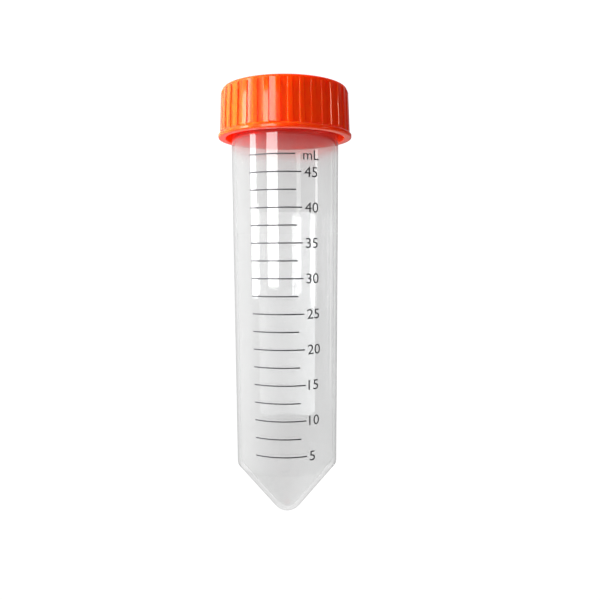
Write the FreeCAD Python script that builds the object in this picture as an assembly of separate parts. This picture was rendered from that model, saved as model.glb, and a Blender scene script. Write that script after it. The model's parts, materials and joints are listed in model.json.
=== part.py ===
import FreeCAD, Part
import math
import os

# A 50 ml conical tube with its screw cap, as used in biology labs. All lengths are in millimetres.
#
# The real object is two mouldings, and so is this model:
#   conical_tube  one injection moulding in clear polypropylene: a drafted wall, a cone that is a little
#                 thicker than the wall, a rounded tip and an open mouth
#   screw_cap     one injection moulding in coloured polyethylene: a top plate, a skirt with grip ribs and
#                 a flange at its foot, and inside it a sealing ring that plugs the mouth of the tube
# The screw thread stands in the gap that is left between the tube's mouth and the cap's skirt.
#
# Both pieces are drawn upright, with the tip of the tube on the origin, their common axis on Z and the
# graduated side towards -Y. At the end they are turned over, because a tube with a pointed end can't
# stand on it, and rolls away when it lies down: it stands on the flat top of its cap, with the tip up
# and the graduated side still towards -Y. The origin is then in the middle of the cap's top, on Z = 0.

# ---- tube: driving dimensions ----------------------------------------------------------------------
TUBE_LENGTH = 115.0             # tip to mouth
MOUTH_RADIUS = 14.57            # outside, at the mouth
SHOULDER_RADIUS = 13.90         # outside, where the wall meets the cone; the difference is the draft
WALL = 1.05                     # thickness of the wall
CONE_HALF_ANGLE = 39.0          # degrees, between the cone's side and its axis
CONE_WALL = 1.30                # thickness of the cone and the tip
TIP_RADIUS = 4.5                # outside of the rounded tip
SHOULDER_ROUND = 1.0            # outside rounding between the wall and the cone
INNER_SHOULDER_ROUND = 0.8      # the same rounding inside
RIM_ROUND = 0.35                # both edges of the mouth
MOUTH_DEPTH = 3.4               # the bore's mouth, which widens to the rim to let the sealing ring in
LAND_LENGTH = 10.0              # straight stretch of bore below the mouth, where an insert hangs

# ---- cap: driving dimensions -----------------------------------------------------------------------
CAP_HEIGHT = 13.2               # foot of the skirt to the top
CAP_PLATE = 1.9                 # thickness of the top plate
CAP_TOP_RADIUS = 16.80          # smooth wall between the ribs, at the top
CAP_FOOT_RADIUS = 17.33         # the same wall, carried down to the foot of the skirt
CAP_EDGE_ROUND = 0.8            # rounding of the top edge
SKIRT_BORE = 15.75              # inside radius of the skirt, where its thread is
SKIRT_BORE_FOOT = 16.10         # inside radius of the skirt, at its foot
SKIRT_LEAD_IN = 2.2             # height over which the bore widens towards the foot
FOOT_CHAMFER = 0.35             # edge at the open end of the skirt
FLANGE_RADIUS = 18.05           # outside of the flange at the foot of the skirt
FLANGE_HEIGHT = 0.9             # straight part of the flange
FLANGE_FLARE = 0.75             # height of the slope from the flange up to the wall
FLANGE_ROUND = 0.4              # lower outside edge of the flange

RIB_COUNT = 36
RIB_TURN = 5.8                  # degrees from the graduated side to the middle of the first rib
RIB_WIDTH = 1.3                 # across the middle of a rib's flanks
RIB_HEIGHT = 0.30               # how far a rib stands out of the wall
RIB_FLANK = 0.30                # width of each sloping flank
RIB_TOP_GAP = 0.8               # smooth band between the top of the cap and the ribs
RIB_RUNOUT = 0.4                # length over which a rib's top end slopes into the wall
RIB_ROOT = 0.4                  # how deep a rib's root is sunk in the wall, so that the two fuse

PLUG_DEPTH = 3.2                # how far the sealing ring reaches down from the plate
PLUG_THICKNESS = 1.0            # of the sealing ring at its root
PLUG_LEAD = 0.9                 # height of the taper at the ring's free end
PLUG_TAPER = 0.45               # how much that taper takes off the ring's radius

ROUNDING_STEP = 32.0            # a small rounding is a row of slopes that turn by this much at most

# ---- how the cap sits on the tube ------------------------------------------------------------------
SEAT_GAP = 0.05                 # from the rim of the mouth to the underside of the plate
PLUG_CLEARANCE = 0.05           # between the sealing ring and the bore below the mouth

# ---- derived: the tube -----------------------------------------------------------------------------
# A rounded tip is a sharp corner between the cone and a flat end, rounded until the flat is gone.
CONE_SLOPE = math.tan(math.radians(CONE_HALF_ANGLE))
TIP_CORNER_PER_RADIUS = math.tan(math.radians(90.0 - CONE_HALF_ANGLE) / 2)
TIP_CORNER = TIP_RADIUS * TIP_CORNER_PER_RADIUS
CONE_HEIGHT = (SHOULDER_RADIUS - TIP_CORNER) / CONE_SLOPE
WALL_DRAFT = (MOUTH_RADIUS - SHOULDER_RADIUS) / (TUBE_LENGTH - CONE_HEIGHT)

INNER_MOUTH_RADIUS = MOUTH_RADIUS - WALL
LAND_TOP = TUBE_LENGTH - MOUTH_DEPTH
LAND_FOOT = LAND_TOP - LAND_LENGTH
LAND_RADIUS = INNER_MOUTH_RADIUS - (TUBE_LENGTH - LAND_FOOT) * WALL_DRAFT
INNER_TIP_RADIUS = TIP_RADIUS - CONE_WALL
INNER_TIP_CORNER = INNER_TIP_RADIUS * TIP_CORNER_PER_RADIUS

# ---- derived: the cap ------------------------------------------------------------------------------
PLATE_UNDERSIDE = TUBE_LENGTH + SEAT_GAP
CAP_TOP = PLATE_UNDERSIDE + CAP_PLATE
CAP_FOOT = CAP_TOP - CAP_HEIGHT
FLANGE_TOP = CAP_FOOT + FLANGE_HEIGHT
FLARE_TOP = FLANGE_TOP + FLANGE_FLARE
PLUG_RADIUS = LAND_RADIUS - PLUG_CLEARANCE
PLUG_FOOT = PLATE_UNDERSIDE - PLUG_DEPTH

UPRIGHT_AXIS = FreeCAD.Vector(0, 0, 1)
TURNING_AXIS = FreeCAD.Vector(0, 1, 0)
TIP = FreeCAD.Vector(0, 0, 0)
ON_AXIS = 1e-6                  # a point nearer the axis than this lies on it


def inner_wall_radius(height):
    """Inside radius of the tube's wall at a height above the tip."""
    return INNER_MOUTH_RADIUS - (TUBE_LENGTH - height) * WALL_DRAFT


def inner_shoulder_height():
    """Height where the inside of the cone meets the inside of the wall."""
    radius_gap = inner_wall_radius(CONE_WALL) - INNER_TIP_CORNER
    return CONE_WALL + radius_gap / (CONE_SLOPE - WALL_DRAFT)


def cap_wall_radius(height):
    """Outside radius of the cap's smooth wall, which narrows towards the top."""
    share = (height - CAP_FOOT) / CAP_HEIGHT
    return CAP_FOOT_RADIUS + share * (CAP_TOP_RADIUS - CAP_FOOT_RADIUS)


def rounded_corner(before, corner, after, radius):
    """Start, end and edges of the rounding of one corner of an outline."""
    to_before = (before - corner).normalize()
    to_after = (after - corner).normalize()
    half_angle = to_before.getAngle(to_after) / 2
    reach = radius / math.tan(half_angle)
    start = corner + to_before * reach
    end = corner + to_after * reach
    if radius == 0:
        return start, end, []
    inward = (to_before + to_after).normalize()
    middle = corner + inward * (radius / math.sin(half_angle) - radius)
    arc = Part.Arc(start, middle, end)
    if min(start.x, end.x) < ON_AXIS:
        return start, end, [arc.toShape()]
    steps = math.ceil((180 - math.degrees(2 * half_angle)) / ROUNDING_STEP)
    points = arc.discretize(steps + 1)
    return start, end, [Part.makeLine(*ends) for ends in zip(points, points[1:])]


def section(corners):
    """Half section in the XZ plane, from corners (radius, height, rounding) in order."""
    points = [FreeCAD.Vector(radius, 0, height) for radius, height, rounding in corners]
    rounded = []
    for i, corner in enumerate(corners):
        after = points[(i + 1) % len(points)]
        rounded.append(rounded_corner(points[i - 1], points[i], after, corner[2]))
    edges = []
    for i, (start, end, rounding) in enumerate(rounded):
        edges += rounding
        next_start = rounded[(i + 1) % len(rounded)][0]
        if end.distanceToPoint(next_start) > ON_AXIS:
            edges.append(Part.makeLine(end, next_start))
    return Part.Face(Part.Wire(edges))


def tube_section():
    """The tube's wall, cone and tip in one closed section."""
    rim_round = min(RIM_ROUND, 0.45 * WALL)
    shoulder = inner_shoulder_height()
    return section([
        (0, 0, 0),
        (TIP_CORNER, 0, TIP_RADIUS),
        (SHOULDER_RADIUS, CONE_HEIGHT, SHOULDER_ROUND),
        (MOUTH_RADIUS, TUBE_LENGTH, rim_round),
        (INNER_MOUTH_RADIUS, TUBE_LENGTH, rim_round),
        (LAND_RADIUS, LAND_TOP, 0),
        (LAND_RADIUS, LAND_FOOT, 0),
        (inner_wall_radius(shoulder), shoulder, INNER_SHOULDER_ROUND),
        (INNER_TIP_CORNER, CONE_WALL, INNER_TIP_RADIUS),
        (0, CONE_WALL, 0),
    ])


def cap_section():
    """The cap's plate, skirt, flange and sealing ring in one closed section, without the ribs."""
    plug_bore = PLUG_RADIUS - PLUG_THICKNESS
    return section([
        (SKIRT_BORE_FOOT + FOOT_CHAMFER, CAP_FOOT, 0),
        (FLANGE_RADIUS, CAP_FOOT, FLANGE_ROUND),
        (FLANGE_RADIUS, FLANGE_TOP, 0),
        (cap_wall_radius(FLARE_TOP), FLARE_TOP, 0),
        (CAP_TOP_RADIUS, CAP_TOP, CAP_EDGE_ROUND),
        (0, CAP_TOP, 0),
        (0, PLATE_UNDERSIDE, 0),
        (plug_bore, PLATE_UNDERSIDE, 0),
        (plug_bore, PLUG_FOOT, 0),
        (PLUG_RADIUS - PLUG_TAPER, PLUG_FOOT, 0),
        (PLUG_RADIUS, PLUG_FOOT + PLUG_LEAD, 0),
        (PLUG_RADIUS, PLATE_UNDERSIDE, 0),
        (SKIRT_BORE, PLATE_UNDERSIDE, 0),
        (SKIRT_BORE, CAP_FOOT + SKIRT_LEAD_IN, 0),
        (SKIRT_BORE_FOOT, CAP_FOOT + FOOT_CHAMFER, 0),
    ])


def turned(face):
    """Solid of revolution of a half section about the upright axis."""
    return face.revolve(TIP, UPRIGHT_AXIS, 360)


def rib_corner(height, rise, side):
    """A corner on one flank of a rib on the +X side, `rise` outside the cap's wall."""
    half_width = RIB_WIDTH / 2 + (RIB_HEIGHT / 2 - rise) * RIB_FLANK / RIB_HEIGHT
    return FreeCAD.Vector(cap_wall_radius(height) + rise, side * half_width, height)


def rib_flank(side):
    """One flank of a rib, from inside the flange up to a slope that ends below the top edge."""
    slope_foot = CAP_TOP - RIB_TOP_GAP - RIB_RUNOUT
    slope_top = CAP_TOP - RIB_TOP_GAP + RIB_RUNOUT / 2
    return [
        rib_corner(FLANGE_TOP, -RIB_ROOT, side),
        rib_corner(FLANGE_TOP, RIB_HEIGHT, side),
        rib_corner(slope_foot, RIB_HEIGHT, side),
        rib_corner(slope_top, -RIB_HEIGHT / 2, side),
        rib_corner(slope_top, -RIB_ROOT, side),
    ]


def grip_ribs():
    """The ribs round the skirt, each bounded by flat faces."""
    left = rib_flank(-1)
    right = rib_flank(1)
    outlines = [left, right]
    for i in range(len(left)):
        outlines.append([left[i - 1], left[i], right[i], right[i - 1]])
    faces = [Part.Face(Part.makePolygon(corners + corners[:1])) for corners in outlines]
    rib = Part.Solid(Part.Shell(faces))
    ribs = []
    for i in range(RIB_COUNT):
        turn = RIB_TURN - 90 + i * 360 / RIB_COUNT
        ribs.append(rib.copy().rotate(TIP, UPRIGHT_AXIS, turn))
    return ribs


def screw_cap():
    """The cap: one turned body with its ribs."""
    return turned(cap_section()).multiFuse(grip_ribs()).removeSplitter().Solids[0]


def stood_on_cap(solid):
    """The solid turned over, so that the cap's top rests on Z = 0 and the tip of the tube points up."""
    return solid.copy().rotate(TIP, TURNING_AXIS, 180).translate(FreeCAD.Vector(0, 0, CAP_TOP))


def main():
    os.makedirs("parts", exist_ok=True)
    pieces = {"conical_tube": turned(tube_section()), "screw_cap": screw_cap()}
    for name, piece in pieces.items():
        solid = stood_on_cap(piece)
        solid.exportStep("parts/" + name + ".step")
        print("%s: valid %s, volume %.1f mm3" % (name, solid.isValid(), solid.Volume))


if __name__ == "__main__":
    main()
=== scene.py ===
# %% [markdown]
# # A 50 ml conical tube with its screw cap
#
# The real object is two mouldings. The tube is clear polypropylene with a scale printed on it, and the
# cap is orange polyethylene with ribs for the fingers. This lesson dresses the imported CAD model: it
# builds finer versions of the two mouldings, with their screw threads, prints the scale, mixes the
# materials and sets up a small studio.
#
# ## Start from the imported model
#
# All drawing below is done in millimetres, because that is how a mould maker thinks, and is scaled to
# metres at the very end.

# %% Load the imported model
import json
import math

import bpy
from mathutils import Matrix, Vector


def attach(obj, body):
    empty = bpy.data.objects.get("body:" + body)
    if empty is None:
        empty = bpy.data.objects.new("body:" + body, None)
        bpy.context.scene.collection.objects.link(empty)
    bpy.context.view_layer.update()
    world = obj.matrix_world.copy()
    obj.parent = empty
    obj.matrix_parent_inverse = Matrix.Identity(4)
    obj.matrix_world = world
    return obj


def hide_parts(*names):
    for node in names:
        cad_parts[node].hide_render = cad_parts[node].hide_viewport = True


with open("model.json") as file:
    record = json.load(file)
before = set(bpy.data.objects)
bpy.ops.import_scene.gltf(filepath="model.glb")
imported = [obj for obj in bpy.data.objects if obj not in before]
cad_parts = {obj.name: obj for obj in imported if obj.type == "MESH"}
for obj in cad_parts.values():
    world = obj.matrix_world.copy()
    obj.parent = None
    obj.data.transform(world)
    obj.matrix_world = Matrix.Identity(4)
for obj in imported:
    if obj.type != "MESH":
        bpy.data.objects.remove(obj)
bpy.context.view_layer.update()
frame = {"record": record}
MM = 0.001

# %% [markdown]
# ## The frame that everything is drawn in
#
# A turned object is easiest to draw upright on its own axis: the tip of the tube on the origin, Z up
# the axis and the printed scale facing -Y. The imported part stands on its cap, tip up, because that is
# how a pointed tube can stand without rolling away. One matrix, worked out from the mount on top of the
# cap, turns an upright drawing in millimetres into its place in metres.

# %% Turn the drawing over onto its cap
CAP_TOP = 116.95  # from the tip of the tube to the top of the cap

cap_top = next(m for m in frame["record"]["mounts"] if m["name"] == "cap_top")
tip = Vector(cap_top["pos_m"]) - Vector(cap_top["axis"]) * CAP_TOP * MM
STAND = Matrix.Translation(tip) @ Matrix.Rotation(math.pi, 4, "Y")
STAND_IN_MM = STAND @ Matrix.Scale(MM, 4)
print("tip of the tube in mm:", [round(v / MM, 2) for v in tip])

# %% [markdown]
# ## Half sections
#
# Both mouldings are solids of revolution, so each begins as a half section: a row of corners, given as
# (radius, height, rounding), that starts and ends on the axis. A curve object with bevelled corners
# would do as well, but a short function keeps exact control over where the rows of points fall. A
# fourth number asks for a row of points at that spacing along the run that follows the corner, where
# a screw thread will need them.

# %% Round the corners of a half section
ARC_STEP = math.radians(14.0)


def half_section(corners):
    """Points (radius, height) along a half section, with its corners rounded off."""
    sharp = [Vector(corner[:2]) for corner in corners]
    points = []
    for i, (radius, height, rounding, *spacing) in enumerate(corners):
        here = sharp[i]
        if rounding:
            before = (sharp[i - 1] - here).normalized()
            after = (sharp[i + 1] - here).normalized()
            half = before.angle(after) / 2
            centre = here + (before + after).normalized() * (rounding / math.sin(half))
            start = here + before * (rounding / math.tan(half)) - centre
            end = here + after * (rounding / math.tan(half)) - centre
            turn = math.pi - 2 * half
            steps = math.ceil(turn / ARC_STEP)
            for k in range(steps + 1):
                share = k / steps
                near = math.sin((1 - share) * turn) / math.sin(turn)
                far = math.sin(share * turn) / math.sin(turn)
                points.append(centre + start * near + end * far)
        else:
            points.append(here)
        if spacing:
            run = sharp[i + 1] - points[-1]
            for k in range(1, int(run.length / spacing[0])):
                points.append(here + run * (k * spacing[0] / run.length))
    return [(max(p.x, 0.0), p.y) for p in points]


# %% [markdown]
# ## The tube in section
#
# The wall is drafted, which lets the core slip out of the moulding, and the cone is a little thicker
# than the wall. The tip is a sharp corner that is rounded until its flat end is gone. Inside, a short
# stretch of the bore below the mouth is straight, and the mouth opens slightly above it, so that the
# sealing ring of the cap finds its way in.

# %% Draw the tube's half section
TUBE_LENGTH, MOUTH_RADIUS, SHOULDER_RADIUS = 115.0, 14.57, 13.90
WALL, CONE_WALL, CONE_HALF_ANGLE, TIP_RADIUS = 1.05, 1.30, 39.0, 4.5
SHOULDER_ROUND, INNER_SHOULDER_ROUND, RIM_ROUND = 1.0, 0.8, 0.35
MOUTH_DEPTH, LAND_LENGTH = 3.4, 10.0
NECK_FOOT, THREAD_ROWS, MIDWAY = 102.0, 0.28, 60.0

CONE_SLOPE = math.tan(math.radians(CONE_HALF_ANGLE))
CORNER_PER_RADIUS = math.tan(math.radians(90.0 - CONE_HALF_ANGLE) / 2)
CONE_HEIGHT = (SHOULDER_RADIUS - TIP_RADIUS * CORNER_PER_RADIUS) / CONE_SLOPE
DRAFT = (MOUTH_RADIUS - SHOULDER_RADIUS) / (TUBE_LENGTH - CONE_HEIGHT)


def wall_radius(height):
    """Outside radius of the tube's wall at a height above the tip."""
    return MOUTH_RADIUS - (TUBE_LENGTH - height) * DRAFT


def bore_radius(height):
    """Inside radius of the tube's wall at a height above the tip."""
    return wall_radius(height) - WALL


INNER_CORNER = (TIP_RADIUS - CONE_WALL) * CORNER_PER_RADIUS
INNER_SHOULDER = CONE_WALL + (bore_radius(CONE_WALL) - INNER_CORNER) / (CONE_SLOPE - DRAFT)
LAND_FOOT = TUBE_LENGTH - MOUTH_DEPTH - LAND_LENGTH
LAND_RADIUS = bore_radius(LAND_FOOT)

outside = half_section([
    (0, 0, 0),
    (TIP_RADIUS * CORNER_PER_RADIUS, 0, TIP_RADIUS),
    (SHOULDER_RADIUS, CONE_HEIGHT, SHOULDER_ROUND),
    (wall_radius(MIDWAY), MIDWAY, 0),
    (wall_radius(NECK_FOOT), NECK_FOOT, 0, THREAD_ROWS),
    (MOUTH_RADIUS, TUBE_LENGTH, RIM_ROUND),
    (MOUTH_RADIUS - WALL, TUBE_LENGTH, 0),
])[:-1]
inside = half_section([
    (MOUTH_RADIUS, TUBE_LENGTH, 0),
    (MOUTH_RADIUS - WALL, TUBE_LENGTH, RIM_ROUND),
    (LAND_RADIUS, TUBE_LENGTH - MOUTH_DEPTH, 0),
    (LAND_RADIUS, LAND_FOOT, 0),
    (bore_radius(MIDWAY), MIDWAY, 0),
    (bore_radius(INNER_SHOULDER), INNER_SHOULDER, INNER_SHOULDER_ROUND),
    (INNER_CORNER, CONE_WALL, TIP_RADIUS - CONE_WALL),
    (0, CONE_WALL, 0),
])[1:]
print("tube section:", len(outside), "points outside,", len(inside), "inside")

# %% [markdown]
# ## The cap in section
#
# The cap's section begins under the middle of the plate, runs round the sealing ring and down the bore
# of the skirt, and comes back up over the flange and the outside wall. The flange spreads the load of
# a rotor, and the small slope above it is where the ribs run out. One row of points just above that
# slope keeps the shading of the wall straight down to its foot.

# %% Draw the cap's half section
CAP_HEIGHT, CAP_PLATE = 13.2, 1.9
CAP_TOP_RADIUS, CAP_FOOT_RADIUS, CAP_EDGE_ROUND = 16.80, 17.33, 0.8
SKIRT_BORE, SKIRT_BORE_FOOT, SKIRT_LEAD_IN = 15.75, 16.10, 2.2
FLANGE_RADIUS, FLANGE_HEIGHT, FLANGE_FLARE = 18.05, 0.9, 0.75
PLUG_RADIUS, PLUG_DEPTH, PLUG_THICKNESS, PLUG_LEAD, PLUG_TAPER = 13.38, 3.2, 1.0, 0.9, 0.45
RIB_HEIGHT, RIB_TOP_GAP, RIB_RUNOUT = 0.30, 0.8, 0.4
THREAD_GAP, ROW_ABOVE_FLARE, ROW_BELOW_TOP = 0.9, 0.2, 6.0

CAP_FOOT = CAP_TOP - CAP_HEIGHT
CAP_INSIDE = CAP_TOP - CAP_PLATE
FLANGE_TOP = CAP_FOOT + FLANGE_HEIGHT
FLARE_TOP = FLANGE_TOP + FLANGE_FLARE


def cap_radius(height):
    """Outside radius of the cap's smooth wall, which narrows towards the top."""
    return CAP_FOOT_RADIUS + (height - CAP_FOOT) / CAP_HEIGHT * (CAP_TOP_RADIUS - CAP_FOOT_RADIUS)


flare_width = FLANGE_RADIUS - cap_radius(FLARE_TOP)
rib_foot = FLARE_TOP - FLANGE_FLARE * RIB_HEIGHT / flare_width
cap_outline = half_section([
    (0, CAP_INSIDE, 0),
    (PLUG_RADIUS - PLUG_THICKNESS, CAP_INSIDE, 0.25),
    (PLUG_RADIUS - PLUG_THICKNESS, CAP_INSIDE - PLUG_DEPTH, 0.2),
    (PLUG_RADIUS - PLUG_TAPER, CAP_INSIDE - PLUG_DEPTH, 0.2),
    (PLUG_RADIUS, CAP_INSIDE - PLUG_DEPTH + PLUG_LEAD, 0.3),
    (PLUG_RADIUS, CAP_INSIDE, 0.15),
    (SKIRT_BORE, CAP_INSIDE, 0.4),
    (SKIRT_BORE, CAP_INSIDE - THREAD_GAP, 0, THREAD_ROWS),
    (SKIRT_BORE, CAP_FOOT + SKIRT_LEAD_IN, 0),
    (SKIRT_BORE_FOOT, CAP_FOOT, 0.3),
    (FLANGE_RADIUS, CAP_FOOT, 0.4),
    (FLANGE_RADIUS, FLANGE_TOP, 0.18),
    (FLANGE_RADIUS - flare_width + RIB_HEIGHT, rib_foot, 0),
    (cap_radius(FLARE_TOP), FLARE_TOP, 0),
    (cap_radius(FLARE_TOP + ROW_ABOVE_FLARE), FLARE_TOP + ROW_ABOVE_FLARE, 0),
    (cap_radius(CAP_TOP - ROW_BELOW_TOP), CAP_TOP - ROW_BELOW_TOP, 0),
    (cap_radius(CAP_TOP - RIB_TOP_GAP - RIB_RUNOUT), CAP_TOP - RIB_TOP_GAP - RIB_RUNOUT, 0),
    (cap_radius(CAP_TOP - RIB_TOP_GAP), CAP_TOP - RIB_TOP_GAP, 0),
    (CAP_TOP_RADIUS, CAP_TOP, CAP_EDGE_ROUND - 0.02),
    (0, CAP_TOP, 0),
])
print("cap section:", len(cap_outline), "points")

# %% [markdown]
# ## A helper for node trees
#
# Node trees are built in code here, so that every size has a name. The helper adds one node in one
# line: settings go in as keywords, and each input gets a plain value or another node's socket.

# %% Add nodes in one line each
class Nodes:
    """Adds nodes to a tree; an input is a value, or a socket to link from."""

    def __init__(self, tree):
        self.tree = tree

    def add(self, kind, inputs=None, **settings):
        node = self.tree.nodes.new(kind)
        for name, value in settings.items():
            setattr(node, name, value)
        for key, value in (inputs or {}).items():
            usable = [socket for socket in node.inputs if socket.enabled]
            named = [socket for socket in usable if socket.name == key]
            socket = usable[key] if isinstance(key, int) else named[0]
            if isinstance(value, bpy.types.NodeSocket):
                self.tree.links.new(value, socket)
            else:
                socket.default_value = value
        return node

    def math(self, operation, *values, clamp=False):
        inputs = dict(enumerate(values))
        return self.add("ShaderNodeMath", inputs, operation=operation, use_clamp=clamp).outputs[0]

    def curve(self, value, results):
        """A curve of straight runs through evenly spaced results, from 0 to 1."""
        node = self.add("ShaderNodeFloatCurve", {"Value": value})
        line = node.mapping.curves[0].points
        while len(line) < len(results):
            line.new(0.5, 0.5)
        for k, (point, result) in enumerate(zip(line, results)):
            point.location = (k / (len(results) - 1), result)
            point.handle_type = "VECTOR"
        node.mapping.update()
        return node.outputs[0]


def new_group(name, kind, inputs, outputs):
    """An empty group whose sockets are given as name: (type, default)."""
    tree = bpy.data.node_groups.new(name, kind)
    for way, sockets in (("INPUT", inputs), ("OUTPUT", outputs)):
        for label, (socket_type, default) in sockets.items():
            socket = tree.interface.new_socket(name=label, in_out=way, socket_type="NodeSocket" + socket_type)
            if default is not None:
                socket.default_value = default
    nodes = Nodes(tree)
    start = nodes.add("NodeGroupInput").outputs
    end = nodes.add("NodeGroupOutput").inputs
    return nodes, start, end


# %% [markdown]
# ## Turning a section into a moulding
#
# A screw modifier could turn the sections, and ribs and threads could be added as separate solids, but
# then the threads would only poke into the walls. Here one Geometry Nodes tree lays a grid round the
# axis, with one row for each point of the section and sixteen columns for each rib, and moves every
# point to its place: the radius comes from the section, and ribs and threads are added to it as
# heights. The mesh stays one closed skin, as the moulding is.
#
# - Two curves shape a rib: where the columns stand within its pitch, and how high they rise. The
#   flanks are nearly upright, so each of them shows as one thin line.
# - A thread is a helix, so its height depends on how far a point lies from the nearest turn of it. It
#   fades in and out at both ends, as the real one does where the mould's thread runs out.

# %% Build the tree that turns a moulding
RIB_PLACES = [0.0, 0.378, 0.400, 0.418, 0.450, 0.472, 0.500, 0.800, 1.0]  # shares of half a pitch
RIB_HEIGHTS = [1.0, 1.0, 1.0, 0.88, 0.12, 0.0, 0.0, 0.0, 0.0]
RIB_COLUMNS = 2 * (len(RIB_PLACES) - 1)

nodes, given, result = new_group("turned_moulding", "GeometryNodeTree", {
    "Geometry": ("Geometry", None),
    "Ribs": ("Int", 36),
    "Even Columns": ("Float", 0.0),
    "First Rib": ("Float", 0.0),
    "Rib Height": ("Float", 0.3),
    "Thread Height": ("Float", 0.8),
    "Thread Pitch": ("Float", 3.4),
    "Thread Start": ("Float", 104.0),
    "Thread Turns": ("Float", 1.5),
    "Crest Width": ("Float", 0.7),
    "Foot Width": ("Float", 1.5),
    "Sharp Angle": ("Float", 0.9),
    "Material": ("Material", None),
}, {"Geometry": ("Geometry", None)})

size = nodes.add("GeometryNodeAttributeDomainSize", {"Geometry": given["Geometry"]}, component="MESH")
rows = size.outputs["Point Count"]
columns = nodes.math("MULTIPLY", given["Ribs"], RIB_COLUMNS)
grid = nodes.add("GeometryNodeMeshGrid", {
    "Vertices X": nodes.math("ADD", columns, 1),
    "Vertices Y": rows,
})
index = nodes.add("GeometryNodeInputIndex").outputs[0]
column = nodes.math("FLOOR", nodes.math("DIVIDE", nodes.math("ADD", index, 0.5), rows))
row = nodes.math("SUBTRACT", index, nodes.math("MULTIPLY", column, rows))


def from_section(value, data_type):
    """Reads a value of the half section in the grid point's row."""
    node = nodes.add("GeometryNodeSampleIndex", {"Geometry": given["Geometry"], "Index": row, "Value": value},
                     data_type=data_type, domain="POINT")
    return node.outputs[0]


place = nodes.add("ShaderNodeSeparateXYZ", {
    0: from_section(nodes.add("GeometryNodeInputPosition").outputs[0], "FLOAT_VECTOR")}).outputs
rib_here, thread_here = [
    from_section(nodes.add("GeometryNodeInputNamedAttribute", {"Name": name}, data_type="FLOAT").outputs[0],
                 "FLOAT")
    for name in ("rib", "thread")]

half_pitch = RIB_COLUMNS / 2
shifted = nodes.math("ADD", column, half_pitch)
rib_number = nodes.math("FLOOR", nodes.math("DIVIDE", nodes.math("ADD", shifted, 0.5), RIB_COLUMNS))
from_middle = nodes.math("SUBTRACT", column, nodes.math("MULTIPLY", rib_number, RIB_COLUMNS))
away = nodes.math("DIVIDE", nodes.math("ABSOLUTE", from_middle), half_pitch)
grouped = nodes.curve(away, RIB_PLACES)
spread = nodes.add("ShaderNodeMix", {"Factor": given["Even Columns"], "A": grouped, "B": away}).outputs[0]
aside = nodes.math("MULTIPLY", nodes.math("SIGN", from_middle), nodes.math("MULTIPLY", spread, 0.5))
rib_pitch = nodes.math("DIVIDE", 2 * math.pi, given["Ribs"])
angle = nodes.math("MULTIPLY_ADD", nodes.math("ADD", rib_number, aside), rib_pitch, given["First Rib"])
rib_shape = nodes.math("MULTIPLY", nodes.curve(away, RIB_HEIGHTS), rib_here)
rib = nodes.math("MULTIPLY", rib_shape, given["Rib Height"])

turns_round = nodes.math("DIVIDE", angle, 2 * math.pi)
climb = nodes.math("DIVIDE", nodes.math("SUBTRACT", place["Z"], given["Thread Start"]), given["Thread Pitch"])
off_helix = nodes.math("SUBTRACT", climb, turns_round)
turn_number = nodes.math("ROUND", off_helix)
off_turn = nodes.math("ABSOLUTE", nodes.math(
    "MULTIPLY", nodes.math("SUBTRACT", off_helix, turn_number), given["Thread Pitch"]))
half_foot = nodes.math("MULTIPLY", given["Foot Width"], 0.5)
flank = nodes.math("SUBTRACT", half_foot, nodes.math("MULTIPLY", given["Crest Width"], 0.5))
ridge = nodes.math("DIVIDE", nodes.math("SUBTRACT", half_foot, off_turn), flank, clamp=True)
along = nodes.math("ADD", turn_number, turns_round)
FADE = 12.0  # a thread reaches its full height in a twelfth of a turn
fade_in = nodes.math("MULTIPLY", along, FADE, clamp=True)
fade_out = nodes.math("MULTIPLY", nodes.math("SUBTRACT", given["Thread Turns"], along), FADE, clamp=True)
thread = nodes.math("MULTIPLY", nodes.math("MULTIPLY", ridge, nodes.math("MULTIPLY", fade_in, fade_out)),
                    nodes.math("MULTIPLY", given["Thread Height"], thread_here))

radius = nodes.math("ADD", place["X"], nodes.math("ADD", rib, thread))
new_place = nodes.add("ShaderNodeCombineXYZ", {
    "X": nodes.math("MULTIPLY", radius, nodes.math("SINE", angle)),
    "Y": nodes.math("MULTIPLY", radius, nodes.math("MULTIPLY", nodes.math("COSINE", angle), -1.0)),
    "Z": place["Z"],
}).outputs[0]
moved = nodes.add("GeometryNodeSetPosition", {"Geometry": grid.outputs["Mesh"], "Position": new_place})
closed = nodes.add("GeometryNodeMergeByDistance", {"Geometry": moved.outputs[0], "Distance": 0.001})
smooth = nodes.add("GeometryNodeSetShadeSmooth", {"Geometry": closed.outputs[0], "Shade Smooth": True})
bend = nodes.add("GeometryNodeInputMeshEdgeAngle").outputs[0]
sharp = nodes.add("GeometryNodeSetShadeSmooth", {
    "Geometry": smooth.outputs[0],
    "Selection": nodes.math("GREATER_THAN", bend, given["Sharp Angle"]),
    "Shade Smooth": False,
}, domain="EDGE")
real = nodes.add("GeometryNodeRealizeInstances", {"Geometry": sharp.outputs[0]})
painted = nodes.add("GeometryNodeSetMaterial", {"Geometry": real.outputs[0], "Material": given["Material"]})
nodes.tree.links.new(painted.outputs[0], result["Geometry"])
turned_moulding = nodes.tree
print("turned_moulding:", len(turned_moulding.nodes), "nodes")

# %% [markdown]
# ## From tree to finished piece
#
# The section becomes a small mesh of loose points that carry two values each: how much of the rib and
# how much of the thread stands there. The tree grows the moulding from it, and the result is taken as a
# plain mesh and moved to its place in metres. The signed volume is printed as a check: it comes out
# positive only if the skin is closed and its faces point outwards.

# %% Grow a mesh from a tree
import bmesh


def points_mesh(name, places, **values):
    """A mesh of loose points, each with the named values."""
    mesh = bpy.data.meshes.new(name)
    mesh.from_pydata(places, [], [])
    for label, numbers in values.items():
        mesh.attributes.new(label, "FLOAT", "POINT").data.foreach_set("value", numbers)
    return mesh


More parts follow.
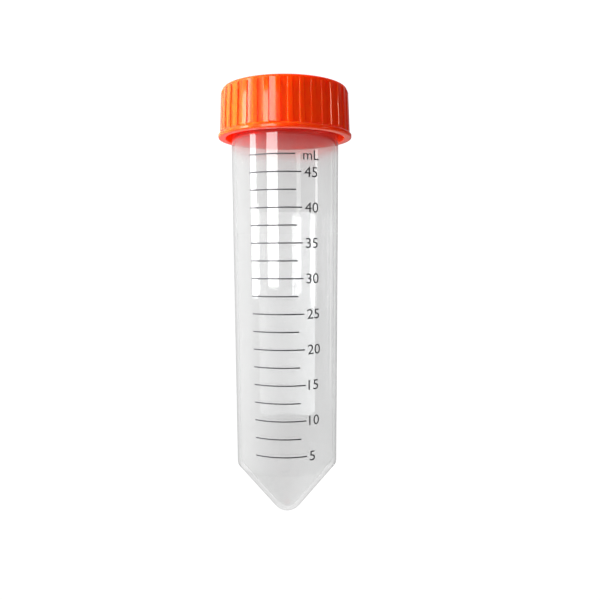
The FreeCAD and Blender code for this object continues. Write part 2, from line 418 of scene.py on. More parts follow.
def grown(name, mesh, *steps):
    """A piece made by running a mesh through trees, given as (tree, inputs), then put in its place."""
    piece = bpy.data.objects.new(name, mesh)
    bpy.context.scene.collection.objects.link(piece)
    for tree, values in steps:
        modifier = piece.modifiers.new(tree.name, "NODES")
        modifier.node_group = tree
        for item in tree.interface.items_tree:
            if item.in_out == "INPUT" and item.name in values:
                modifier[item.identifier] = values[item.name]
    ready = piece.evaluated_get(bpy.context.evaluated_depsgraph_get())
    plain = bpy.data.meshes.new_from_object(ready)
    piece.modifiers.clear()
    material = plain.materials[-1]
    plain.materials.clear()
    plain.materials.append(material)
    plain.transform(STAND_IN_MM)
    plain.name = name
    piece.data = plain
    shape = bmesh.new()
    shape.from_mesh(plain)
    volume = shape.calc_volume(signed=True) / MM ** 3
    loose = sum(not edge.is_manifold for edge in shape.edges)
    shape.free()
    print("%s: %d faces, volume %.1f mm3, open edges %d" % (name, len(plain.polygons), volume, loose))
    return piece


# %% [markdown]
# ## Marks that every surface has
#
# Moulded plastic is never perfectly even: the melt leaves a soft waviness along its flow, the skin has
# a very fine ripple, and handling leaves hairline scuffs. One shader group makes all three for every
# material here. It could be an image, but noise works at any distance and needs no unwrapping. The
# group reads Object coordinates and turns them into the tube's own upright frame, in millimetres, so
# that the flow runs along the axis.

# %% Build the shader group for moulded skin
nodes, given, result = new_group("moulded_skin", "ShaderNodeTree", {
    "Flow Size": ("Float", 0.25),
    "Flow Depth": ("Float", 0.5),
    "Ripple Size": ("Float", 2.0),
    "Ripple Depth": ("Float", 0.2),
    "Scuff Amount": ("Float", 0.5),
}, {"Height": ("Float", None), "Scuffs": ("Float", None), "Cloud": ("Float", None)})

where = nodes.add("ShaderNodeTexCoord").outputs["Object"]
upright = nodes.add("ShaderNodeMapping", {
    "Vector": where,
    "Location": tip,
    "Rotation": (0.0, math.pi, 0.0),
    "Scale": (MM, MM, MM),
}, vector_type="TEXTURE").outputs[0]
drawn_out = nodes.add("ShaderNodeMapping", {"Vector": upright, "Scale": (1.0, 1.0, 0.12)}).outputs[0]
flow = nodes.add("ShaderNodeTexNoise", {"Vector": drawn_out, "Scale": given["Flow Size"], "Detail": 3.0,
                                        "Roughness": 0.45}).outputs[0]
ripple = nodes.add("ShaderNodeTexNoise", {"Vector": upright, "Scale": given["Ripple Size"],
                                          "Detail": 2.0}).outputs[0]
bent = nodes.add("ShaderNodeTexNoise", {"Vector": upright, "Scale": 0.12, "Detail": 1.0}).outputs["Color"]
astray = nodes.add("ShaderNodeMix", {"Factor": 0.12, "A": drawn_out, "B": nodes.add(
    "ShaderNodeVectorMath", {0: bent, "Scale": 60.0}, operation="SCALE").outputs[0]},
    data_type="VECTOR").outputs[1]
hairs = nodes.add("ShaderNodeTexVoronoi", {"Vector": astray, "Scale": 0.35},
                  feature="DISTANCE_TO_EDGE").outputs["Distance"]
hairline = nodes.add("ShaderNodeMapRange", {"Value": hairs, "From Min": 0.0, "From Max": 0.012,
                                            "To Min": 1.0, "To Max": 0.0}).outputs[0]
patches = nodes.add("ShaderNodeTexNoise", {"Vector": upright, "Scale": 0.09, "Detail": 4.0}).outputs[0]
patchy = nodes.add("ShaderNodeMapRange", {"Value": patches, "From Min": 0.48, "From Max": 0.72}).outputs[0]
scuffs = nodes.math("MULTIPLY", nodes.math("MULTIPLY", hairline, patchy), given["Scuff Amount"])
rippled = nodes.math("MULTIPLY", ripple, given["Ripple Depth"])
waves = nodes.math("MULTIPLY_ADD", flow, given["Flow Depth"], rippled)
height = nodes.math("SUBTRACT", waves, nodes.math("MULTIPLY", scuffs, 0.3))
nodes.tree.links.new(height, result["Height"])
nodes.tree.links.new(scuffs, result["Scuffs"])
nodes.tree.links.new(patches, result["Cloud"])
moulded_skin = nodes.tree
print("moulded_skin:", len(moulded_skin.nodes), "nodes")


# %% Start a material with the skin group in it
def new_material(name, preview, **skin):
    """A node material; returns it with its nodes, its output and the skin group's outputs."""
    material = bpy.data.materials.new(name)
    material.use_nodes = True
    material.diffuse_color = preview
    material.node_tree.nodes.clear()
    nodes = Nodes(material.node_tree)
    output = nodes.add("ShaderNodeOutputMaterial").inputs["Surface"]
    group = nodes.add("ShaderNodeGroup", node_tree=moulded_skin)
    for label, value in skin.items():
        group.inputs[label.replace("_", " ").title()].default_value = value
    return material, nodes, output, group.outputs


# %% [markdown]
# ## Clear polypropylene
#
# Polypropylene is never as clear as glass. It lets most light through, a little hazily, and takes a
# little off it, so it looks grey against a white background, and greyer at its edges, where the light
# goes the long way through the wall.
#
# - The full index of refraction would turn so smooth a wall into a light guide, with dark bands along
#   the shoulder that the real moulding, which is never that even, doesn't show. So the body has an
#   index near 1, and a clear coat with a high one carries the mirror images.
# - Next to the cap the wall picks up its orange light. A gradient by height gives that tint here. It
#   belongs to the tube, so it is right while the cap is on, and stays behind when the tube is lifted.
# - Shadow rays pass through as through a pale filter, because otherwise the renderer would give clear
#   plastic a black shadow.

# %% Mix the clear plastic
CLEAR_TINT, EDGE_TINT = (0.775, 0.775, 0.775, 1.0), (0.62, 0.62, 0.62, 1.0)
CAP_GLOW = (1.0, 0.55, 0.52, 1.0)
NO_EDGE_LEVEL, FULL_EDGE_LEVEL = 104.2, 102.0  # above the floor, round the foot of the cone
NO_GLOW_LEVEL, FULL_GLOW_LEVEL = 17.8, 13.0  # above the floor, up from the cap's flange

clear_plastic, nodes, output, skin = new_material(
    "clear_plastic", (0.86, 0.88, 0.89, 0.35),
    flow_size=0.16, flow_depth=1.0, ripple_size=1.2, ripple_depth=0.0, scuff_amount=0.4)
bump = nodes.add("ShaderNodeBump", {
    "Height": skin["Height"], "Strength": 0.005, "Distance": 0.0004}).outputs[0]
haze = nodes.add("ShaderNodeMapRange", {"Value": skin["Scuffs"], "To Min": 0.12, "To Max": 0.30}).outputs[0]
facing = nodes.add("ShaderNodeLayerWeight", {"Blend": 0.5}).outputs["Facing"]
edge = nodes.add("ShaderNodeMapRange", {"Value": facing, "From Min": 0.58, "From Max": 0.74}).outputs[0]
light_path = nodes.add("ShaderNodeLightPath").outputs
where = nodes.add("ShaderNodeTexCoord").outputs["Object"]
level = nodes.add("ShaderNodeSeparateXYZ", {0: where}).outputs["Z"]
on_wall_only = nodes.add("ShaderNodeMapRange", {
    "Value": level, "From Min": NO_EDGE_LEVEL * MM, "From Max": FULL_EDGE_LEVEL * MM}).outputs[0]
seen_edge = nodes.math("MULTIPLY", nodes.math("MULTIPLY", edge, on_wall_only), light_path["Is Camera Ray"])
tint = nodes.add("ShaderNodeMix", {"Factor": seen_edge, "A": CLEAR_TINT, "B": EDGE_TINT},
                 data_type="RGBA").outputs[2]
near_cap = nodes.add("ShaderNodeMapRange", {
    "Value": level, "From Min": NO_GLOW_LEVEL * MM, "From Max": FULL_GLOW_LEVEL * MM,
}, interpolation_type="SMOOTHSTEP").outputs[0]
tint = nodes.add("ShaderNodeMix", {"Factor": near_cap, "A": tint, "B": CAP_GLOW},
                 data_type="RGBA", blend_type="MULTIPLY").outputs[2]
plastic = nodes.add("ShaderNodeBsdfPrincipled", {
    "Base Color": tint,
    "Roughness": haze,
    "IOR": 1.01,
    "Transmission Weight": 0.965,
    "Coat Weight": 1.0,
    "Coat IOR": 1.75,
    "Coat Roughness": 0.04,
    "Normal": bump,
}).outputs[0]
let_through = nodes.add("ShaderNodeBsdfTransparent", {"Color": (0.93, 0.94, 0.94, 1.0)}).outputs[0]
mixed = nodes.add("ShaderNodeMixShader", {
    0: light_path["Is Shadow Ray"], 1: plastic, 2: let_through}).outputs[0]
nodes.tree.links.new(mixed, output)
print("clear_plastic:", len(nodes.tree.nodes), "nodes")

# %% [markdown]
# ## Orange polyethylene
#
# The cap is dyed all the way through and glossy from a polished mould. Light enters it and comes out
# again close by, a deep orange, so subsurface scattering makes its body colour. A faint red glow is
# painted into the plastic, though it is no lamp: it stands in for the light that crosses the whole
# skirt and keeps the shaded side red. A plain diffuse colour would look like paint and turn brown in
# the shade. The sheen of such a dye is warm too, so the highlights are tinted.

# %% Mix the cap's plastic
CAP_ORANGE, CAP_LIGHT_ORANGE = (0.84, 0.060, 0.0008, 1.0), (0.90, 0.074, 0.0015, 1.0)

cap_plastic, nodes, output, skin = new_material(
    "cap_plastic", (0.87, 0.13, 0.01, 1.0),
    flow_size=0.3, flow_depth=0.6, ripple_size=1.6, ripple_depth=0.25, scuff_amount=0.6)
bump = nodes.add("ShaderNodeBump", {
    "Height": skin["Height"], "Strength": 0.015, "Distance": 0.0003}).outputs[0]
gloss = nodes.add("ShaderNodeMapRange", {"Value": skin["Scuffs"], "To Min": 0.16, "To Max": 0.40}).outputs[0]
shade = nodes.add("ShaderNodeMix", {
    "Factor": skin["Cloud"],
    "A": CAP_ORANGE,
    "B": CAP_LIGHT_ORANGE,
}, data_type="RGBA").outputs[2]
dyed = nodes.add("ShaderNodeBsdfPrincipled", {
    "Base Color": shade,
    "Roughness": gloss,
    "IOR": 1.51,
    "Specular IOR Level": 0.65,
    "Specular Tint": (1.0, 0.96, 0.80, 1.0),
    # painted light: a faint red glow stands in for light through the skirt and lifts the shaded side
    "Emission Color": (1.0, 0.01, 0.0, 1.0),
    "Emission Strength": 0.19,
    "Subsurface Weight": 1.0,
    "Subsurface Radius": (1.0, 0.25, 0.1),
    "Subsurface Scale": 0.004,
    "Normal": bump,
}).outputs[0]
nodes.tree.links.new(dyed, output)
print("cap_plastic:", len(nodes.tree.nodes), "nodes")

# %% [markdown]
# ## The two mouldings
#
# The tube's neck carries a right-handed thread of about one and a half turns, and the cap's bore carries
# the thread that runs under it. With the cap screwed home the two ridges lie side by side.

# %% Mould the tube
THREAD_PITCH = 3.4
tube_outline = outside + inside
on_neck = [float(k < len(outside) and z > NECK_FOOT) for k, (r, z) in enumerate(tube_outline)]
tube_points = points_mesh("tube_section", [(r, 0, z) for r, z in tube_outline],
                          rib=[0.0] * len(tube_outline), thread=on_neck)
tube = grown("tube", tube_points, (turned_moulding, {
    "Ribs": 20,
    "Even Columns": 1.0,
    "Thread Height": 0.85,
    "Thread Pitch": THREAD_PITCH,
    "Thread Start": 106.0,
    "Thread Turns": 1.5,
    "Crest Width": 0.7,
    "Foot Width": 1.5,
    "Material": clear_plastic,
}))

# %% Mould the cap
def rib_share(radius, height):
    """How much of a rib's height stands out of the cap's section at a point of it."""
    if radius < SKIRT_BORE_FOOT or not rib_foot < height < CAP_TOP - RIB_TOP_GAP:
        return 0.0
    runout = min((CAP_TOP - RIB_TOP_GAP - height) / RIB_RUNOUT, 1.0)
    return min(max((cap_radius(height) + RIB_HEIGHT - radius) / RIB_HEIGHT, 0.0), runout)


in_skirt = [-float(math.isclose(r, SKIRT_BORE, abs_tol=0.01) and z < CAP_INSIDE - THREAD_GAP / 2)
            for r, z in cap_outline]
cap_points = points_mesh("cap_section", [(r, 0, z) for r, z in cap_outline],
                         rib=[rib_share(r, z) for r, z in cap_outline], thread=in_skirt)
cap = grown("cap", cap_points, (turned_moulding, {
    "Ribs": 36,
    "First Rib": math.radians(5.8),
    "Rib Height": RIB_HEIGHT,
    "Thread Height": 0.75,
    "Thread Pitch": THREAD_PITCH,
    "Thread Start": 106.9,
    "Thread Turns": 1.6,
    "Crest Width": 0.5,
    "Foot Width": 1.3,
    "Material": cap_plastic,
}))

# %% [markdown]
# ## Printing on a round wall
#
# The printer rolls the tube over a flat plate of ink, so artwork is drawn flat, with X along the wall
# and Y up the axis, and a small tree then rolls it onto the drafted wall. A shrinkwrap modifier could
# do it, but it would flatten the film of ink. The same tree prints lines, numbers and the white field.
#
# A second tree draws bars: one bar stands on each point of a mesh, between the left and right ends that
# the point carries. All lines of the scale are one such mesh, and the white field is one tall bar with
# rounded corners.

# %% Build the tree that rolls flat artwork onto the wall
nodes, given, result = new_group("rolled_print", "GeometryNodeTree", {
    "Geometry": ("Geometry", None),
    "Radius At Tip": ("Float", 14.0),
    "Draft": ("Float", 0.0),
    "Turn": ("Float", 0.0),
    "Lift": ("Float", 0.01),
    "Material": ("Material", None),
}, {"Geometry": ("Geometry", None)})
flat = nodes.add("ShaderNodeSeparateXYZ", {0: nodes.add("GeometryNodeInputPosition").outputs[0]}).outputs
wall = nodes.math("MULTIPLY_ADD", flat["Y"], given["Draft"], given["Radius At Tip"])
angle = nodes.math("ADD", nodes.math("DIVIDE", flat["X"], wall), given["Turn"])
radius = nodes.math("ADD", nodes.math("ADD", wall, given["Lift"]), flat["Z"])
rolled = nodes.add("ShaderNodeCombineXYZ", {
    "X": nodes.math("MULTIPLY", radius, nodes.math("SINE", angle)),
    "Y": nodes.math("MULTIPLY", radius, nodes.math("MULTIPLY", nodes.math("COSINE", angle), -1.0)),
    "Z": flat["Y"],
}).outputs[0]
moved = nodes.add("GeometryNodeSetPosition", {"Geometry": given["Geometry"], "Position": rolled})
closed = nodes.add("GeometryNodeMergeByDistance", {"Geometry": moved.outputs[0], "Distance": 0.0005})
real = nodes.add("GeometryNodeRealizeInstances", {"Geometry": closed.outputs[0]})
painted = nodes.add("GeometryNodeSetMaterial", {"Geometry": real.outputs[0], "Material": given["Material"]})
nodes.tree.links.new(painted.outputs[0], result["Geometry"])
rolled_print = nodes.tree

# %% Build the tree that draws printed bars
nodes, given, result = new_group("printed_bars", "GeometryNodeTree", {
    "Geometry": ("Geometry", None),
    "Steps Across": ("Int", 24),
    "Steps Up": ("Int", 1),
    "Bar Height": ("Float", 0.35),
    "Corner": ("Float", 0.0),
    "Film": ("Float", 0.03),
    "Material": ("Material", None),
}, {"Geometry": ("Geometry", None)})
bar = nodes.add("GeometryNodeMeshCube", {
    "Size": (1.0, 1.0, 1.0),
    "Vertices X": nodes.math("ADD", given["Steps Across"], 1),
    "Vertices Y": nodes.math("ADD", given["Steps Up"], 1),
})
marks = nodes.add("GeometryNodeStoreNamedAttribute", {
    "Geometry": given["Geometry"],
    "Name": "level",
    "Value": nodes.add("ShaderNodeSeparateXYZ", {
        0: nodes.add("GeometryNodeInputPosition").outputs[0]}).outputs["Y"],
}, data_type="FLOAT", domain="POINT")
origin = nodes.add("ShaderNodeCombineXYZ").outputs[0]
on_axis = nodes.add("GeometryNodeSetPosition", {"Geometry": marks.outputs[0], "Position": origin})
bars = nodes.add("GeometryNodeInstanceOnPoints", {
    "Points": on_axis.outputs[0], "Instance": bar.outputs["Mesh"]})
real = nodes.add("GeometryNodeRealizeInstances", {"Geometry": bars.outputs[0]})
level, left, right = [
    nodes.add("GeometryNodeInputNamedAttribute", {"Name": name}, data_type="FLOAT").outputs[0]
    for name in ("level", "left", "right")]
unit = nodes.add("ShaderNodeSeparateXYZ", {0: nodes.add("GeometryNodeInputPosition").outputs[0]}).outputs
up = nodes.math("MULTIPLY", unit["Y"], given["Bar Height"])
straight = nodes.math("MULTIPLY_ADD", given["Bar Height"], 0.5, nodes.math("MULTIPLY", given["Corner"], -1.0))
past = nodes.math("MAXIMUM", nodes.math("SUBTRACT", nodes.math("ABSOLUTE", up), straight), 0.0)
left_over = nodes.math("SUBTRACT", nodes.math("POWER", given["Corner"], 2.0), nodes.math("POWER", past, 2.0))
chord = nodes.math("SQRT", nodes.math("MAXIMUM", left_over, 0.0))
narrower = nodes.math("MULTIPLY", nodes.math("SUBTRACT", given["Corner"], chord), 2.0)
width = nodes.math("SUBTRACT", nodes.math("SUBTRACT", right, left), narrower)
middle = nodes.math("MULTIPLY", nodes.math("ADD", left, right), 0.5)
drawn = nodes.add("ShaderNodeCombineXYZ", {
    "X": nodes.math("MULTIPLY_ADD", unit["X"], width, middle),
    "Y": nodes.math("ADD", up, level),
    "Z": nodes.math("MULTIPLY", nodes.math("ADD", unit["Z"], 0.5), given["Film"]),
}).outputs[0]
shaped = nodes.add("GeometryNodeSetPosition", {"Geometry": real.outputs[0], "Position": drawn})
painted = nodes.add("GeometryNodeSetMaterial", {"Geometry": shaped.outputs[0], "Material": given["Material"]})
nodes.tree.links.new(painted.outputs[0], result["Geometry"])
printed_bars = nodes.tree
print("print trees:", len(rolled_print.nodes), "and", len(printed_bars.nodes), "nodes")

# %% [markdown]
# ## Ink
#
# The scale is printed in dark grey ink and the writing field in white. A printed film is matt next to
# the plastic and a little uneven where the ink pulled, so its colour follows the same cloud pattern.
# The dark ink covers fully. The white film is so thin that it hides only a sixth of what lies behind
# it, and a glow stands in for the daylight that it spreads from its far side.

# %% Mix the inks
def ink(name, thin, thick, rough, cover, glow=0.0):
    """A matt printed film whose colour drifts between a thin and a thick coat."""
    material, nodes, output, skin = new_material(
        name, (*thick, 1.0),
        flow_size=0.3, flow_depth=0.2, ripple_size=6.0, ripple_depth=0.6, scuff_amount=0.5)
    bump = nodes.add("ShaderNodeBump", {
        "Height": skin["Height"], "Strength": 0.15, "Distance": 0.0001}).outputs[0]
    coat = nodes.add("ShaderNodeMix", {"Factor": skin["Cloud"], "A": (*thin, 1.0), "B": (*thick, 1.0)},
                     data_type="RGBA").outputs[2]
    worn = nodes.add("ShaderNodeMapRange", {
        "Value": skin["Scuffs"], "To Min": rough, "To Max": 0.8}).outputs[0]
    film = nodes.add("ShaderNodeBsdfPrincipled", {
        "Base Color": coat, "Roughness": worn, "IOR": 1.45, "Normal": bump,
        "Emission Color": (1.0, 1.0, 1.0, 1.0), "Emission Strength": glow}).outputs[0]
    gap = nodes.add("ShaderNodeBsdfTransparent", {"Color": (1.0, 1.0, 1.0, 1.0)}).outputs[0]
    nodes.tree.links.new(nodes.add("ShaderNodeMixShader", {0: cover, 1: gap, 2: film}).outputs[0], output)
    print("%s: covers %.2f" % (name, cover))
    return material


dark_ink = ink("dark_ink", (0.075, 0.075, 0.080), (0.045, 0.045, 0.050), rough=0.45, cover=1.0)
white_ink = ink("white_ink", (0.55, 0.56, 0.57), (0.60, 0.60, 0.60), rough=0.5, cover=0.16, glow=1.1)

# %% [markdown]
# ## Where the lines of the scale go
#
# Each step of the scale is 2.5 ml, so the lines are not evenly spaced: the bore widens towards the
# mouth, and the cone below takes some of the volume. The heights are worked out from the inside of the
# tube itself, by adding up thin slices until they hold the right volume.

# %% Work out the heights of the lines
STEP_ML, LAST_ML, SLICE = 2.5, 47.5, 0.01


def fill_heights(section):
    """Height above the tip of each full step of volume, from the points of the bore."""
    bore = sorted((z, r) for r, z in section)
    heights, volume, k = [], 0.0, 0
    height = bore[0][0]
    while len(heights) * STEP_ML < LAST_ML:
        while bore[k + 1][0] <= height:
            k += 1
        (z1, r1), (z2, r2) = bore[k], bore[k + 1]
        here = r1 + (r2 - r1) * (height - z1) / (z2 - z1)
        volume += math.pi * here ** 2 * SLICE
        height += SLICE
        if volume >= (len(heights) + 1) * STEP_ML * 1000:
            heights.append(height)
    return heights


levels = {STEP_ML * (k + 1): height for k, height in enumerate(fill_heights(inside))}
print("lines in mm above the tip:", {ml: round(height, 2) for ml, height in levels.items()})

# %% [markdown]
# Lines at full 5 ml are longer than those between, and carry a number. The whole scale leans a little,
# because the plate is flat and the wall is slightly conical: the ends of the lines drift round the tube
# towards the mouth.

# %% Print the lines
MIDDLE = 57.2  # height of the 25 ml line, where the scale is centred
LEFT_END, SHORT_END, LONG_END = -36.4, 14.35, 20.35  # degrees round the wall at that height
LEFT_LEAN, RIGHT_LEAN = -0.052, -0.078  # degrees for each millimetre above it
LINE_THICKNESS, FIRST_LINE = 0.32, 5.0
PRINT_WALL = {"Radius At Tip": wall_radius(0.0), "Draft": DRAFT}


def on_wall(degrees, lean, height):
    """Distance round the wall, in millimetres, of a mark that leans with the scale."""
    return math.radians(degrees + lean * (height - MIDDLE)) * wall_radius(height)


lines = [(ml, height) for ml, height in levels.items() if ml >= FIRST_LINE]
scale_lines = grown("scale_lines", points_mesh(
    "scale_marks", [(0, height, 0) for ml, height in lines],
    left=[on_wall(LEFT_END, LEFT_LEAN, height) for ml, height in lines],
    right=[on_wall(SHORT_END if ml % 5 else LONG_END, RIGHT_LEAN, height) for ml, height in lines]),
    (printed_bars, {"Steps Across": 28, "Bar Height": LINE_THICKNESS, "Material": dark_ink}),
    (rolled_print, {**PRINT_WALL, "Material": dark_ink}))

# %% [markdown]
# The numbers are set in Blender's own plain typeface. Each word is made a flat mesh as thick as a film
# of ink, put beside its line, and rolled onto the wall with the tree that rolled the lines.

# %% Print the numbers and the unit
NUMBER_HEIGHT, NUMBER_WIDTH, UNIT_HEIGHT, INK_FILM = 2.6, 1.08, 2.4, 0.02
NUMBER_GAP, UNIT_GAP = 3.3, 2.3  # degrees past the end of a long line
UNIT_DROP = 0.2


def lettering(words, height, left, middle):
    """Flat artwork of a word as (vertices, faces), by its left end and its middle height."""
    curve = bpy.data.curves.new(words, "FONT")
    curve.body = words
    curve.extrude = 0.5
    curve.resolution_u = 5
    writer = bpy.data.objects.new(words, curve)
    bpy.context.scene.collection.objects.link(writer)
    ready = writer.evaluated_get(bpy.context.evaluated_depsgraph_get())
    mesh = bpy.data.meshes.new_from_object(ready)
    bpy.data.objects.remove(writer)
    low_x = min(v.co.x for v in mesh.vertices)
    low_y = min(v.co.y for v in mesh.vertices)
    tall = max(v.co.y for v in mesh.vertices) - low_y
    grow = height / tall
    foot = middle - height / 2
    places = [((v.co.x - low_x) * grow * NUMBER_WIDTH + left, (v.co.y - low_y) * grow + foot,
               (v.co.z + 0.5) * INK_FILM) for v in mesh.vertices]
    return places, [tuple(face.vertices) for face in mesh.polygons]


words = [("%d" % ml, NUMBER_HEIGHT, on_wall(LONG_END + NUMBER_GAP, RIGHT_LEAN, height), height)
         for ml, height in lines if ml % 5 == 0]
top = levels[LAST_ML]
words.append(("mL", UNIT_HEIGHT, on_wall(LONG_END + UNIT_GAP, RIGHT_LEAN, top), top - UNIT_DROP))
vertices, faces = [], []
for text, height, left, middle in words:
    places, outlines = lettering(text, height, left, middle)
    faces += [tuple(k + len(vertices) for k in outline) for outline in outlines]
    vertices += places
artwork = bpy.data.meshes.new("scale_numbers_artwork")
artwork.from_pydata(vertices, [], faces)
scale_numbers = grown("scale_numbers", artwork, (rolled_print, {**PRINT_WALL, "Material": dark_ink}))

# %% [markdown]
# ## The white field for writing
#
# On the back there is a plain white field to write on. It shows through the clear wall from the front,
# where it makes the middle of the tube look paler than its sides.

# %% Print the writing field
FIELD_FOOT, FIELD_HEAD, FIELD_HALF_ANGLE, FIELD_CORNER = 23.9, 85.0, 35.5, 2.2

field_middle = (FIELD_FOOT + FIELD_HEAD) / 2
half_width = math.radians(FIELD_HALF_ANGLE) * wall_radius(field_middle)
writing_field = grown("writing_field", points_mesh(
    "field_mark", [(0, field_middle, 0)], left=[-half_width], right=[half_width]),
    (printed_bars, {"Steps Across": 28, "Steps Up": 170, "Bar Height": FIELD_HEAD - FIELD_FOOT,
                    "Corner": FIELD_CORNER, "Material": white_ink}),
    (rolled_print, {**PRINT_WALL, "Turn": math.pi, "Material": white_ink}))
for piece in (scale_lines, scale_numbers, writing_field):
    for face in piece.data.polygons:
        face.use_smooth = False

# %% [markdown]
# ## Which piece moves with what
#
# The tube and everything printed on it ride on the tube's body, and the cap on its own. The two
# mouldings stand for their CAD nodes.

# %% Put the pieces on their bodies
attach(tube, "tube")
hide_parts("conical_tube")
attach(cap, "cap")
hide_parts("screw_cap")
for piece in (scale_lines, scale_numbers, writing_field):
    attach(piece, "tube")

# %% [markdown]
# ## The studio
#
# The floor is plain and pale. Reflections on a glossy piece show whatever surrounds it, and a white
# floor would put a milky veil over the cap and the tube, so glossy rays don't see the floor: they see
# the dim room and the softboxes. A backdrop could hang behind the tube, but the room itself is made
# white for every ray that looks through the plastic, which works from all sides.

# %% Lay the floor
def sheet_of(name, corners, material):
    """A flat four-cornered sheet that belongs to the studio."""
    mesh = bpy.data.meshes.new(name)
    mesh.from_pydata(corners, [], [(0, 1, 2, 3)])
    mesh.materials.append(material)
    sheet = bpy.data.objects.new(name, mesh)
    bpy.context.scene.collection.objects.link(sheet)
    return sheet


def lit_paper(name, paper, glow):
    """Matt paper that also glows a little."""
    material, nodes, output, skin = new_material(name, (0.9, 0.9, 0.9, 1.0), scuff_amount=0.0)
    tone = nodes.add("ShaderNodeMapRange", {
        "Value": skin["Cloud"], "To Min": paper * 0.99, "To Max": paper}).outputs[0]
    surface = nodes.add("ShaderNodeBsdfPrincipled", {
        "Base Color": tone, "Roughness": 0.9, "Specular IOR Level": 0.0,
        "Emission Color": (1.0, 1.0, 1.0, 1.0), "Emission Strength": glow}).outputs[0]
    nodes.tree.links.new(surface, output)
    return material


FLOOR_REACH, WHITE = 1.5, 1.05  # metres; brightness of everything white
floor = sheet_of(
    "floor", [(x * FLOOR_REACH, y * FLOOR_REACH, 0.0) for x, y in ((-1, -1), (1, -1), (1, 1), (-1, 1))],
    lit_paper("floor_paper", paper=0.05, glow=WHITE))
floor.visible_diffuse = False
floor.visible_glossy = False
floor.visible_shadow = False
print("floor:", 2 * FLOOR_REACH, "m square")

# %% [markdown]
# ## Softboxes
#
# The tall streaks on the tube and the cap are the mirror images of softboxes. A curved wall squeezes the
# whole room into its width, so each streak tells where its lamp stands: one far round to the left, a
# wide one nearer the camera that ends half way down, and three narrow weak ones on the right. The lamps
# are placed round the axis by their angle from the camera's side, in the upright drawing's frame.

# %% Hang the softboxes
LAMP_DISTANCE = 500.0


def lamp_object(name, width, height, brightness):
    """An area lamp of a size in metres that is as bright as a brightness asks, unseen by the camera."""
    lamp = bpy.data.lights.new(name, "AREA")
    lamp.shape = "RECTANGLE"
    lamp.size = width
    lamp.size_y = height
    lamp.energy = brightness * math.pi * width * height
    holder = bpy.data.objects.new(name, lamp)
    bpy.context.scene.collection.objects.link(holder)
    holder.visible_camera = False
    print("%s: %.3f by %.3f m" % (name, width, height))
    return holder


def softbox(name, turn, width, foot, head, brightness):
    """A lamp to the left of the camera by an angle, as wide as an angle, between two heights."""
    reach = LAMP_DISTANCE * MM
    holder = lamp_object(name, 2 * reach * math.tan(math.radians(width) / 2), (head - foot) * MM, brightness)
    side = math.radians(-turn)
    place = Matrix.Translation((reach * math.sin(side), -reach * math.cos(side), (foot + head) / 2 * MM))
    facing = Matrix.Rotation(side, 4, "Z") @ Matrix.Rotation(math.radians(90.0), 4, "X")
    holder.matrix_world = STAND @ place @ facing


softbox("left_softbox", 69.5, 15.0, 20.0, 400.0, 7.0)
softbox("key_softbox", 26.0, 23.0, 30.0, 400.0, 6.0)
softbox("right_panel", -29.0, 9.0, 107.0, 165.0, 1.3)
softbox("far_right_panel", -70.0, 6.0, 107.0, 170.0, 3.0)
softbox("edge_panel", -117.0, 3.0, -100.0, 170.0, 0.6)

# %% [markdown]
# Two more lamps only fill in the shade: a pale one over the object, and a strong one on the lit side
# that warms that side of the cap. The clear wall would show lamps of that size as white patches, so
# mirror rays and rays that pass through the plastic don't see them.

# %% Fill in the shade
def fill(name, place, width, brightness):
    """A square lamp that faces the object, lights it and leaves no mirror image on it."""
    holder = lamp_object(name, width, width, brightness)
    holder.location = place
    holder.rotation_euler = (-Vector(place)).to_track_quat("-Z", "Y").to_euler()
    holder.visible_glossy = False
    holder.visible_transmission = False


fill("ceiling_fill", (0.0, 0.0, 0.7), 1.0, 0.9)
fill("side_fill", (0.58, 0.0, -0.15), 0.4, 38.0)

# %% [markdown]
# ## The room
#
# The world plays two parts. The camera, and whatever is seen through the plastic, meets plain white.
# Mirror rays and matt surfaces meet dark felt, with a soft light on three sides of it: from behind and
# below, from the lit side, and from behind and above. They draw the flange, the lit side of the ribs
# and the edge of the cone. An image of a studio would do the same, but three lobes are enough and can
# be moved one at a time.

# %% Light the room
world = bpy.data.worlds.new("room")
bpy.context.scene.world = world
world.use_nodes = True
world.node_tree.nodes.clear()
nodes = Nodes(world.node_tree)
output = nodes.add("ShaderNodeOutputWorld").inputs["Surface"]
seen = nodes.add("ShaderNodeBackground", {"Color": (1.0, 1.0, 1.0, 1.0), "Strength": WHITE}).outputs[0]
direction = nodes.add("ShaderNodeTexCoord").outputs["Generated"]


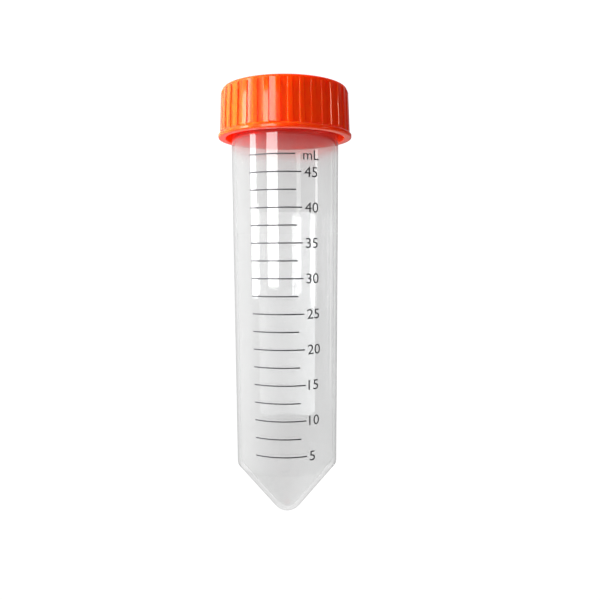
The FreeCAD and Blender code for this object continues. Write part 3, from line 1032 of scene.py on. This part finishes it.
def lit_side(towards, power, brightness):
    """Light that comes from one side of the room and fades away from it."""
    share = nodes.add("ShaderNodeVectorMath", {0: direction, 1: towards},
                      operation="DOT_PRODUCT").outputs["Value"]
    return nodes.math("MULTIPLY", nodes.math("POWER", nodes.math("MAXIMUM", share, 0.0), power), brightness)


FELT = 0.03
behind_and_below = lit_side((0.45, 0.80, -0.70), 2.0, 0.50)
lit_flank = lit_side((1.0, 0.0, 0.0), 2.0, 0.45)
behind_and_above = lit_side((0.0, 0.45, 0.89), 3.0, 0.6)
sides = nodes.math("ADD", nodes.math("ADD", behind_and_below, lit_flank), behind_and_above)
felt = nodes.add("ShaderNodeBackground", {
    "Color": (1.0, 1.0, 1.0, 1.0), "Strength": nodes.math("ADD", sides, FELT)}).outputs[0]
path = nodes.add("ShaderNodeLightPath").outputs
clear_view = nodes.math("MAXIMUM", path["Is Camera Ray"], path["Is Transmission Ray"])
room = nodes.add("ShaderNodeMixShader", {0: clear_view, 1: felt, 2: seen}).outputs[0]
nodes.tree.links.new(room, output)
print("room:", len(nodes.tree.nodes), "nodes")

# %% [markdown]
# ## The camera
#
# The camera stands close, a little more than the tube's own length away, so the perspective is strong.
# It looks slightly down the upright tube. Because the part stands on its cap, the same matrix that
# turned the drawing over turns the camera over as well, and the picture shows the tube upright.

# %% Set up the camera
CAMERA_PLACE = (3.86, -175.02, 73.77)  # millimetres, in the upright frame
CAMERA_DOWN, CAMERA_ROLL, CAMERA_VIEW = 4.536, -0.274, 50.844  # degrees

lens = bpy.data.cameras.new("camera")
lens.sensor_width = 36.0
lens.angle = math.radians(CAMERA_VIEW)
lens.clip_start = 0.005
camera = bpy.data.objects.new("camera", lens)
bpy.context.scene.collection.objects.link(camera)
pitch = Matrix.Rotation(math.radians(90.0 - CAMERA_DOWN), 4, "X")
roll = Matrix.Rotation(math.radians(CAMERA_ROLL), 4, "Z")
camera.matrix_world = STAND @ Matrix.Translation(Vector(CAMERA_PLACE) * MM) @ pitch @ roll
bpy.context.scene.camera = camera
bpy.context.scene.view_settings.view_transform = "Standard"
print("camera at", [round(v, 4) for v in camera.matrix_world.translation])
